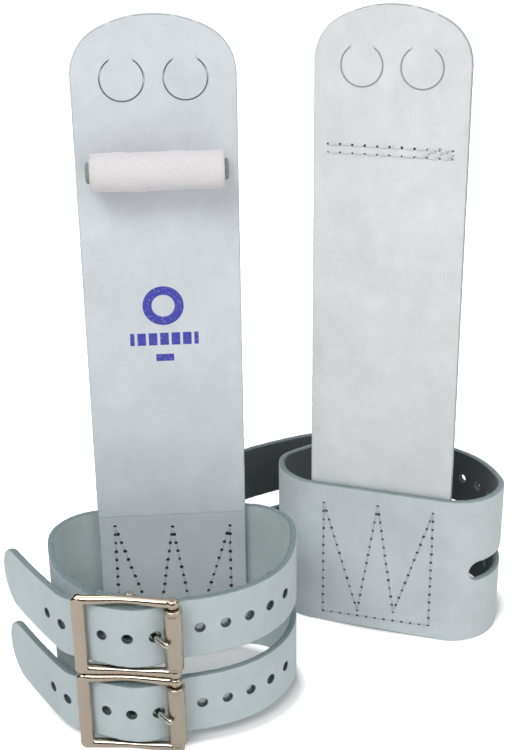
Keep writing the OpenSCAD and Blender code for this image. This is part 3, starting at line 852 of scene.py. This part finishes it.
def palm_loop():
    """Outline of the palm: rounded foot, straight sides, two shoulders and an arch, slightly uneven."""
    foot, low = 5.0, BASE_LO[2]
    shoulder_x = TOP_HALF - SHOULDER
    arch_z = PALM_TOP - ARCH
    shoulder_z = arch_z + math.sqrt((ARCH - SHOULDER) ** 2 - shoulder_x**2)
    meet = math.degrees(math.atan2(shoulder_z - arch_z, shoulder_x))
    loop = arc_points(BASE_HALF - foot, low + foot, foot, -90, 0, 8)
    loop += arc_points(shoulder_x, shoulder_z, SHOULDER, 0, meet, 18)
    loop += arc_points(0, arch_z, ARCH, meet, 180 - meet, 26)[1:-1]
    loop += arc_points(-shoulder_x, shoulder_z, SHOULDER, 180 - meet, 180, 18)
    loop += arc_points(-BASE_HALF + foot, low + foot, foot, 180, 270, 8)
    loop = resample(loop, 1.2)
    return [(x + 0.09 * noise.noise(Vector((x * 0.9, z * 0.9, 3.1))), z) for x, z in loop]


def finger_loop(sign, r, w):
    """A circle round one finger place, open at the top where a web of half width w crosses it."""
    a = math.degrees(math.asin(w / r))
    cx = sign * FINGER_X
    return arc_points(cx, FINGER_Z, r, 90 + a, 450 - a, 40) + [(cx + w, WEB_Z), (cx - w, WEB_Z)]


def web_edge(sign):
    """Tests where a finger tab's web is joined to the palm."""

    def flush(x, z):
        off = np.abs(x - sign * FINGER_X)
        on_top = (np.abs(z - WEB_Z) < 0.9) & (off < WEB + 0.7)
        return on_top | ((z > FINGER_Z + FINGER_R - 0.9) & (np.abs(off - WEB) < 0.8))

    return flush


def beside_finger(x, z):
    """Which points lie close to a finger cut."""
    return np.hypot(np.abs(x) - FINGER_X, z - FINGER_Z) < FINGER_R + 1.0


# ---------- stitching
def stitch_line(start, end, pitch):
    """Middle and step of each stitch of a straight row."""
    a, b = np.array(start, float), np.array(end, float)
    count = max(1, round(np.linalg.norm(b - a) / pitch))
    return [(a + (b - a) * (k + 0.5) / count, (b - a) / count) for k in range(count)]


def arch(t, sag):
    """Height of a thread above the leather, for t from -0.5 to 0.5 along the stitch."""
    return 0.24 * math.cos(t * math.pi) - sag


def stitches(build, rows, y, out, width, sag, hole, fill=0.78):
    """Short threads on the plane y, each dipping into a needle hole at both ends; each hole is a dark disc of
    painted shade.
    """
    section = oval(width, width * 0.8, 8)
    sizes = [(0.7, 0.7)] + [(1.0, 1.0)] * 7 + [(0.7, 0.7)]
    for middle, step in rows:
        middle = middle + np.array([random.uniform(-0.05, 0.05), random.uniform(-0.05, 0.05)])
        tilt = np.array([-step[1], step[0]]) * random.uniform(-0.05, 0.05)
        path = []
        for k in range(9):
            t = k / 8 - 0.5
            p = middle + (step + tilt) * t * fill
            path.append((p[0], y + out * arch(t, sag), p[1]))
        build.sweep(path, section, up=(0, 1, 0), scale=sizes)
        for t in (-0.5, 0.5):
            r = width * hole * random.uniform(0.75, 1.2)
            needle_hole(build, middle + step * t * (fill + 0.1), y, out, r)


def needle_hole(build, p, y, out, r):
    """A thin dark disc let into the leather: painted shade in a needle hole."""
    turns = [2 * math.pi * i / 10 for i in range(10)]
    disc = [(p[0] + r * math.cos(a), y + out * 0.012, p[1] + r * 0.9 * math.sin(a)) for a in turns]
    low = [(q[0], y - out * 0.3, q[2]) for q in disc]
    faces = [tuple(range(10)), tuple(reversed(range(10, 20)))]
    faces += [((i + 1) % 10, i, 10 + i, 10 + (i + 1) % 10) for i in range(10)]
    if out > 0:
        faces = [f[::-1] for f in faces]
    build.add(disc + low, faces, 1)


BAND_PITCH, DOWEL_PITCH = 3.05, 3.62
# the W seam: half its width, its two valleys, and the heights of its tops, valleys and feet on each grip
W_HALF, W_VALLEY = 17.7, 6.0
W_TOPS = {False: (47.3, 46.3, 45.7), True: (44.6, 46.2, 46.4)}
W_LOWS = {False: (8.0, 8.0), True: (5.9, 7.6)}
W_BOTTOMS = {False: (5.0, 5.0), True: (3.7, 4.8)}


def w_rows(right):
    """Two upright rows, a W between them that shares their top holes, and a row along the bottom."""
    first, middle, last = W_TOPS[right]
    (low_1, low_2), (foot_1, foot_2) = W_LOWS[right], W_BOTTOMS[right]
    feet = [(-W_HALF, foot_1), (W_HALF, foot_2)]
    w = [(-W_HALF, first), (-W_VALLEY, low_1), (0, middle), (W_VALLEY, low_2), (W_HALF, last)]
    lines = [(w[0], feet[0]), *zip(w, w[1:]), (w[-1], feet[1]), feet]
    return [s for a, b in lines for s in stitch_line(a, b, BAND_PITCH)]


# ---------- dowel
DOWEL_Y = (CORE_LO[1] + CORE_HI[1]) / 2
DOWEL_Z = (CORE_LO[2] + CORE_HI[2]) / 2
COVER_R = (COVER_HI[2] - COVER_LO[2]) / 2
COVER_HALF = COVER_HI[0]
SUEDE_T = 1.9


def cover_path():
    """Loop of suede round the core in y and z, both ends brought together against the palm."""
    r = COVER_R - SUEDE_T / 2
    foot_y, feet = PALM_FRONT - GAP - 0.2, 2.6
    wrap = 148
    turns = [math.radians(-wrap + 2 * wrap * k / 120) for k in range(121)]
    rows = [(DOWEL_Y - r * math.cos(a), DOWEL_Z + r * math.sin(a)) for a in turns]
    (y0, z0), (y1, z1) = rows[0], rows[-1]
    foot_0, foot_1 = DOWEL_Z - feet, DOWEL_Z + feet
    lead = [(foot_y + (y0 - foot_y) * ease(k / 8), foot_0 + (z0 - foot_0) * k / 8) for k in range(8)]
    tail = [(y1 + (foot_y - y1) * ease(k / 8), z1 + (foot_1 - z1) * k / 8) for k in range(1, 9)]
    return np.array(lead + rows + tail)


def dowel_cover(name, right):
    """The suede wrap, with a soft uneven outer face."""
    line = cover_path()
    steps = np.linalg.norm(np.diff(line, axis=0), axis=1)
    length = np.concatenate([[0], np.cumsum(steps)])
    tangent = np.gradient(line, axis=0)
    tangent /= np.linalg.norm(tangent, axis=1, keepdims=True)

    def unevenness(a, b):
        broad = noise.noise(Vector((a * 0.22, b * 0.22, 1.7)))
        return broad + 0.6 * noise.noise(Vector((a * 0.8, b * 0.8, 5.0)))

    def place(x, s, n):
        y, z = np.interp(s, length, line[:, 0]), np.interp(s, length, line[:, 1])
        ty, tz = np.interp(s, length, tangent[:, 0]), np.interp(s, length, tangent[:, 1])
        soft = np.array([unevenness(a, b) for a, b in zip(x, s)])
        n = np.where(n > 0, n + 0.28 * soft - 0.12, n)
        stretch = 1 + 0.012 * np.array([noise.noise(Vector((0.3, b * 0.5, 9.0))) for b in s])
        return np.stack([x * stretch, y - n * tz, z + n * ty], 1)

    total = length[-1]
    loop = resample([(-COVER_HALF, 0), (COVER_HALF, 0), (COVER_HALF, total), (-COVER_HALF, total)], 0.8)
    return sheet(name, pattern(loop, [], 0.8, (0.15, 0.45)), place, right, thickness=SUEDE_T)


# ---------- buckles (x along the strap, y outwards)
RAIL, RAIL_HALF_DEPTH, WAIST = 2.7, 1.42, 0.2
PIN_R = 1.4
CORNER_R, END_BAR_HALF = 2.0, 1.4
VOXEL = 0.2


def rail_line(side):
    """One long rail: its centre line, dipping between the end bar and the roller, and its waist."""
    path, sizes = [], []
    for x in np.linspace(END_BAR[0], ROLLER[0], 40):
        t = (END_BAR[0] - x) / (END_BAR[0] - ROLLER[0])
        waist = 1 - WAIST * math.sin(math.pi * min(max(t, 0), 1)) ** 2
        y = RAIL_LOW + (END_BAR[1] - RAIL_LOW) * ease(max(x, 0) / END_BAR[0])
        y += (ROLLER[1] - RAIL_LOW) * ease(min(x, 0) / ROLLER[0])
        path.append((x, y, side * (FRAME_HEIGHT / 2 - RAIL * waist / 2)))
        sizes.append((1.0, waist))
    return path, sizes


def upright(build, place, reach, count, section):
    """A bar of the frame that runs from the lower rail to the upper one."""
    build.sweep([(*place, z) for z in np.linspace(-reach, reach, count)], section, up=(1, 0, 0))


def frame_mesh():
    """One buckle frame: two waisted rails, a flat end bar, a centre bar and the roller pin with its heads."""
    b = Build()
    half = RAIL / 2
    flank = half - 0.35
    head = [(0, -half), (1.1, -half), (1.7, -flank), (1.95, 0), (1.7, flank), (1.1, half), (0, half)]
    for side in (-1, 1):
        path, sizes = rail_line(side)
        b.sweep(path, oval(RAIL_HALF_DEPTH, half, 24, 2.2), scale=sizes)
        corner_z = side * (FRAME_HEIGHT / 2 - CORNER_R)
        corner = [(END_BAR[0], END_BAR[1] + y, corner_z) for y in (-1.38, -1.2, -0.8, 0.8, 1.2, 1.38)]
        bevel = [(k, k) for k in (0.72, 0.88, 1.0, 1.0, 0.88, 0.72)]
        b.sweep(corner, oval(CORNER_R, CORNER_R, 32), scale=bevel)
        b.lathe([(r + 0.001, z) for r, z in head], (*ROLLER, side * (FRAME_HEIGHT / 2 - half)), segments=32)
    upright(b, END_BAR, FRAME_HEIGHT / 2 - CORNER_R, 24, oval(END_BAR_HALF, CORNER_R, 24, 2.5))
    upright(b, (0, 0), FRAME_HEIGHT / 2 - 1, 12, oval(BAR_R, BAR_R, 20))
    upright(b, ROLLER, FRAME_HEIGHT / 2 - 1, 12, oval(PIN_R, PIN_R, 20))
    return melted(b)


def melted(build):
    """Runs the overlapping parts together into one smooth casting; returns points and faces."""
    mesh = bpy.data.meshes.new("frame_raw")
    mesh.from_pydata([tuple(np.array(p) * MM) for p in build.points], [], build.faces)
    obj = in_scene("frame_raw", mesh)
    remesh = obj.modifiers.new("r", "REMESH")
    remesh.mode = "VOXEL"
    remesh.voxel_size = VOXEL * MM
    remesh.use_smooth_shade = True
    smooth = obj.modifiers.new("s", "SMOOTH")
    smooth.factor, smooth.iterations = 0.5, 5
    done = bpy.data.meshes.new_from_object(obj.evaluated_get(bpy.context.evaluated_depsgraph_get()))
    points = np.array([v.co for v in done.vertices]) / MM
    faces = [tuple(p.vertices) for p in done.polygons]
    bpy.data.objects.remove(obj)
    return points, faces


def buckle_place(z):
    """Moves points from a buckle's own frame to its place on the grip, at height z."""

    def place(p):
        return np.stack([*on_buckle(p[:, 0], p[:, 1]), p[:, 2] + z], 1)

    return place


def roller_build():
    """Thin sleeve with rounded ends and a shallow groove rolled in near each end."""
    b = Build()
    half = FRAME_HEIGHT / 2 - RAIL - 0.2
    inner, lip, groove = 1.46, 0.35, 0.1
    low = [(ROLLER_R - lip, 0), (ROLLER_R - groove, 0.12), (ROLLER_R, lip), (ROLLER_R, 0.9)]
    low += [(ROLLER_R - groove, 1.05), (ROLLER_R - groove, 1.2), (ROLLER_R, 1.35)]
    profile = [(inner, -half)] + [(r, z - half) for r, z in low]
    profile += [(ROLLER_R, z) for z in np.linspace(3 - half, half - 3, 6)]
    profile += [(r, half - z) for r, z in reversed(low)] + [(inner, half)]
    b.lathe(profile, (*ROLLER, 0), segments=56)
    return b


TONGUE_R, LOOP_HALF, LOOP_GAP = 0.95, 0.5, 0.05


def tongue_build():
    """Wire tongue: a loop round the centre bar, then up through the strap's hole and over the roller."""
    b = Build()
    r = BAR_R + LOOP_GAP + LOOP_HALF
    b.sweep([(r * cosd(a), r * sind(a), 0.0) for a in range(-10, 331, 10)], oval(LOOP_HALF, 0.9, 12, 2.4))
    # middle of the strap's hole, and the direction straight through the leather there
    gap = PITCH - RISE_BEND * math.radians(RISE_TURN)
    c, s = cosd(RISE_TURN), sind(RISE_TURN)
    hole = np.array([-RISE_BEND * s - gap * c, STRAP_N - RISE_BEND * (1 - c) - gap * s])
    through = np.array([-s, c])
    corners = [np.array([-BAR_R - 0.45, -0.4]), hole - 2.3 * through, hole + 2.1 * through]
    for turn, lift in ((58, 0.18), (34, 0.23), (8, 0.33)):
        corners.append(ROLLER + (ROLLER_R + TONGUE_R + lift) * np.array([sind(turn), cosd(turn)]))
    dense = []
    for a, c in zip(corners[:-1], corners[1:]):
        dense += [a + (c - a) * k / 10 for k in range(10)]
    dense = np.array(dense + [corners[-1]])
    for _ in range(14):
        dense[1:-1] = 0.25 * dense[:-2] + 0.5 * dense[1:-1] + 0.25 * dense[2:]
    sizes = []
    for k in range(len(dense)):
        left = min(len(dense) - 1 - k, 4)
        tip = max(math.sqrt(1 - (1 - left / 4) ** 2), 0.12)
        sizes.append((tip * 0.93, tip))
    b.sweep([(p[0], p[1], 0.0) for p in dense], oval(TONGUE_R, TONGUE_R, 16), scale=sizes)
    return b


# ---------- the pieces of one grip
def make_band(side, right):
    path = BandPath(*TAILS[right])
    band = sheet(f"{side}_wristband", band_flat(path), path.place, right, crisp=beside_hole)
    dress(band, BAND_LEATHER[right])
    attach(band, side, "band_body", "wrist_band")
    return band


def blend_up(piece, right, z0, z1):
    """Bakes the piece's placement into its points; the piece is not tied to either body."""
    ends = to_row([(0, PALM_MID, z0), (0, PALM_MID, z1)], right)
    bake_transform(piece)


def make_palm(side, right):
    holes = [finger_loop(sign, FINGER_R, WEB) for sign in (-1, 1)]
    edges = [web_edge(-1), web_edge(1)]
    palm = sheet(
        f"{side}_palm", pattern(palm_loop(), holes, 1.7), palm_place, right,
        flush=lambda x, z: edges[0](x, z) | edges[1](x, z), crisp=beside_finger,
    )
    dress(palm, PALM_LEATHER[right])
    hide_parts(f"{side}_palm_base", f"{side}_palm_flap")
    blend_up(palm, right, CREASE_Z - 3.2, CREASE_Z + 3.2)


def make_tabs(side, right):
    for key, sign in (("outer", -1), ("inner", 1)):
        flat = pattern(finger_loop(sign, FINGER_R - SLIT[right], WEB - 0.01), [], 1.2)
        tab = sheet(f"{side}_{key}_tab", flat, palm_place, right, flush=web_edge(sign), crisp=beside_finger)
        dress(tab, TAB_LEATHER[right])
        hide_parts(f"{side}_{key}_finger_tab")
        blend_up(tab, right, WEB_Z, TAB_HINGE_Z - 1.4)


def make_dowel(side, right):
    cover = dress(dowel_cover(f"{side}_dowel_wrap", right), SUEDE)
    attach(cover, side, "palm_body", "dowel_cover")
    core = Build()
    r = (CORE_HI[2] - CORE_LO[2]) / 2 - 0.06
    x0, x1 = CORE_LO[0], CORE_HI[0]
    xs = np.concatenate([[x0, x0 + 0.2], np.linspace(x0 + 0.8, x1 - 0.8, 12), [x1 - 0.2, x1]])
    sizes = [(k, k) for k in [0.82, 0.95] + [1.0] * 12 + [0.95, 0.82]]
    core.sweep([(x, DOWEL_Y, DOWEL_Z) for x in xs], oval(r, r, 28), scale=sizes)
    rod = core.object(f"{side}_dowel", right, [CORE])
    attach(rod, side, "palm_body", "dowel_core")


def make_dowel_seam(side, right):
    """Two rows on the back of the palm, with a few crossed stitches where they end."""
    rows = Build()
    for z, hole in ((DOWEL_Z - 1.2, 1.0), (DOWEL_Z + 1.2, 1.5)):
        line = stitch_line((-COVER_HALF, z), (COVER_HALF, z), DOWEL_PITCH)
        stitches(rows, line, PALM_BACK, 1, width=0.3, sag=0.06, hole=hole, fill=0.84)
    end_tack = []
    for k in range(5):
        middle = np.array([COVER_HALF - 1.0 - 1.7 * k, DOWEL_Z + (0.9 if k % 2 else -0.6)])
        end_tack.append((middle, np.array([2.3, 1.1 - 2.0 * (k % 2)])))
    stitches(rows, end_tack, PALM_BACK + 0.16, 1, width=0.28, sag=0.04, hole=0.5, fill=0.9)
    seam = rows.object(f"{side}_dowel_seam", right, [THREAD_WHITE, NEEDLE_HOLE_SHADE])
    attach(seam, side, "palm_body", "dowel_stitching")


def make_band_seams(side, right):
    """The W seam, seen on the palm's foot and outside the band, and the rows that hold the folded tabs."""
    rows = Build()
    stitches(rows, w_rows(right), PALM_FRONT, -1, width=0.2, sag=0.14, hole=2.5)
    stitches(rows, w_rows(right), HALF_DEPTH, 1, width=0.24, sag=0.08, hole=1.75)
    seam = rows.object(f"{side}_w_seam", right, [THREAD, NEEDLE_HOLE_SHADE])
    attach(seam, side, "band_body", "band_stitching")

    rows = Build()
    mid = on_buckle(5, -LOOP_R - HALF)
    inwards = mid - on_buckle(5, -LOOP_R - HALF + 1)
    for z in (LOWER_Z, UPPER_Z):
        for k in range(6):
            line = []
            for i in range(9):
                t = i / 8 - 0.5
                p = mid + inwards * arch(t, 0.1)
                line.append((p[0], p[1], z + (k - 2.5) * BAND_PITCH + t * 2.4))
            rows.sweep(line, oval(0.24, 0.2, 8), up=(0, 1, 0))
    seam = rows.object(f"{side}_tab_seam", right, [THREAD])
    attach(seam, side, "band_body", "tab_stitching")


def make_buckles(side, right, frame_points, frame_faces):
    for key, z in (("upper", UPPER_Z), ("lower", LOWER_Z)):
        name = f"{side}_{key}"
        place = buckle_place(z)
        metal = dress(new_mesh(f"{name}_buckle", place(frame_points), frame_faces, right), NICKEL)
        attach(metal, side, "band_body", f"{key}_buckle_frame")
        roll = roller_build().object(f"{name}_roll", right, [NICKEL_ROLLER], place)
        attach(roll, side, f"{key}_roller_body", f"{key}_roller")
        prong = tongue_build().object(f"{name}_prong", right, [NICKEL_WIRE], place)
        attach(prong, side, f"{key}_tongue_body", f"{key}_tongue")


FRAME_MESH = frame_mesh()
bands = {}
for right, side in ((False, "left"), (True, "right")):
    bands[right] = make_band(side, right)
    make_palm(side, right)
    make_tabs(side, right)
    make_dowel(side, right)
    make_dowel_seam(side, right)
    make_band_seams(side, right)
    make_buckles(side, right, *FRAME_MESH)

# ---------- floor
FLOOR = 3.0
# glow that keeps the floor white to the camera; it is off inside the bands, where the floor is shaded
FLOOR_LIFT = 0.62


def flat_square(name, x, y):
    """A plain rectangle that isn't part of the object."""
    mesh = bpy.data.meshes.new(name)
    mesh.from_pydata([(-x, -y, 0), (x, -y, 0), (x, y, 0), (-x, y, 0)], [], [(0, 1, 2, 3)])
    obj = in_scene(name, mesh)
    return obj


floor = flat_square("floor", FLOOR, FLOOR)
floor.location.z = -0.0002
fl = Nodes("floor_pale")
fl_place = fl.new("ShaderNodeTexCoord").outputs["Object"]
fl_inputs = {"Vector": fl_place, "Scale": 6.0, "Detail": 2.0, "Roughness": 0.55}
fl_noise = fl.new("ShaderNodeTexNoise", fl_inputs).outputs[0]
seen = fl.new("ShaderNodeLightPath").outputs["Is Camera Ray"]


def outside_ring(band, centre, angle):
    """0 on the floor inside a wristband, wherever that band has moved to, and 1 outside it."""
    where = fl.new("ShaderNodeSeparateXYZ", {0: fl.new("ShaderNodeTexCoord", object=band).outputs["Object"]})
    x = fl.math("SUBTRACT", where.outputs[0], float(centre[0]))
    y = fl.math("SUBTRACT", where.outputs[1], float(centre[1]))
    c, s = math.cos(angle), math.sin(angle)
    along = fl.add(fl.mul(x, c), fl.mul(y, s))
    across = fl.math("SUBTRACT", fl.mul(y, c), fl.mul(x, s))
    along = fl.math("POWER", fl.math("DIVIDE", fl.math("ABSOLUTE", along), HALF_WIDTH * MM), 2.0)
    across = fl.math("POWER", fl.math("DIVIDE", fl.math("ABSOLUTE", across), HALF_DEPTH * MM), 2.0)
    return fl.ramp(fl.add(along, across), 1.0, 1.25)


seen = fl.mul(seen, outside_ring(bands[False], (0.0, 0.0), 0.0))
seen = fl.mul(seen, outside_ring(bands[True], pair * MM, pair_angle))
dress(floor, fl.finish(
    Base_Color=fl.mix(fl_noise, (0.93, 0.93, 0.93, 1), (0.95, 0.95, 0.95, 1)), Roughness=0.8,
    Emission_Color=(1.0, 1.0, 1.0, 1.0), Emission_Strength=fl.mul(seen, FLOOR_LIFT),
))

# ---------- light
# brightness of the surroundings: for leather, for the camera, and low and high in polished metal
SKY, SKY_CAMERA, SKY_DARK, SKY_BRIGHT = 0.42, 1.1, 0.07, 1.9
WALL_TOP, CEILING = 0.66, 0.74

scene = bpy.context.scene
sky = Nodes("studio", bpy.data.worlds, "Background")
scene.world = sky.owner
# polished metal sees a dark studio wall under a bright ceiling; leather sees an even sky
rays = sky.new("ShaderNodeLightPath").outputs
up = sky.new("ShaderNodeSeparateXYZ", {0: sky.new("ShaderNodeTexCoord").outputs["Generated"]}).outputs[2]
wall = sky.ramp(up, WALL_TOP, CEILING, SKY_DARK, SKY_BRIGHT)
level = sky.new("ShaderNodeMix", {0: rays["Is Glossy Ray"], 2: SKY, 3: wall}).outputs[0]
level = sky.new("ShaderNodeMix", {0: rays["Is Camera Ray"], 2: level, 3: SKY_CAMERA}).outputs[0]
sky.finish(Color=(1.0, 1.0, 1.0, 1.0), Strength=level)
scene.view_settings.view_transform = "Standard"


CENTRE = Vector((0.03, 0.02, 0.09))


def aim(obj, location):
    """Puts a light or a card at a place, facing the middle of the object."""
    obj.location = location
    obj.rotation_mode = "QUATERNION"
    obj.rotation_quaternion = (CENTRE - Vector(location)).to_track_quat("-Z", "Y")


def area(name, location, size, power):
    """A soft rectangular lamp."""
    light = bpy.data.lights.new(name, "AREA")
    light.shape = "RECTANGLE"
    light.size, light.size_y = size
    light.energy = power
    aim(in_scene(name, light), location)


def card(name, location, size, shade):
    """A grey card that only reflections see."""
    obj = flat_square(name, size[0] / 2, size[1] / 2)
    aim(obj, location)
    obj.visible_camera = False
    obj.visible_diffuse = False
    obj.visible_shadow = False
    m = Nodes(name)
    colour = (shade, shade * 0.95, shade * 0.88, 1)
    dress(obj, m.finish(Base_Color=colour, Roughness=1.0, Specular_IOR_Level=0.0))


area("key", (-0.35, -0.6, 0.95), (0.6, 0.5), 6.6)
area("fill", (0.75, -0.45, 0.5), (0.5, 0.7), 1.6)
area("back", (0.1, 0.7, 0.8), (1.0, 0.5), 2.2)
card("card_front", (-0.1, -0.6, 0.02), (0.7, 0.18), 0.10)
card("card_left", (-0.5, -0.25, 0.08), (0.3, 0.3), 0.2)

# ---------- camera
CAMERA_AT = Vector((0.00197, -0.3240, 0.2440))
HEADING, PITCH_DOWN, ROLL = math.radians(-3.9), math.radians(22.59), math.radians(0.82)
FOCAL, SHIFT_X, SHIFT_Y = 61.1, 0.0055, -0.0199

camera_data = bpy.data.cameras.new("camera")
camera = in_scene("camera", camera_data)
scene.camera = camera
camera.location = CAMERA_AT
camera.rotation_mode = "QUATERNION"
look = Matrix.Rotation(HEADING, 4, "Z") @ Matrix.Rotation(math.pi / 2 - PITCH_DOWN, 4, "X")
camera.rotation_quaternion = (look @ Matrix.Rotation(-ROLL, 4, "Z")).to_quaternion()
camera_data.sensor_width = 36.0
camera_data.lens = FOCAL
camera_data.shift_x, camera_data.shift_y = SHIFT_X, SHIFT_Y
camera_data.clip_start = 0.01
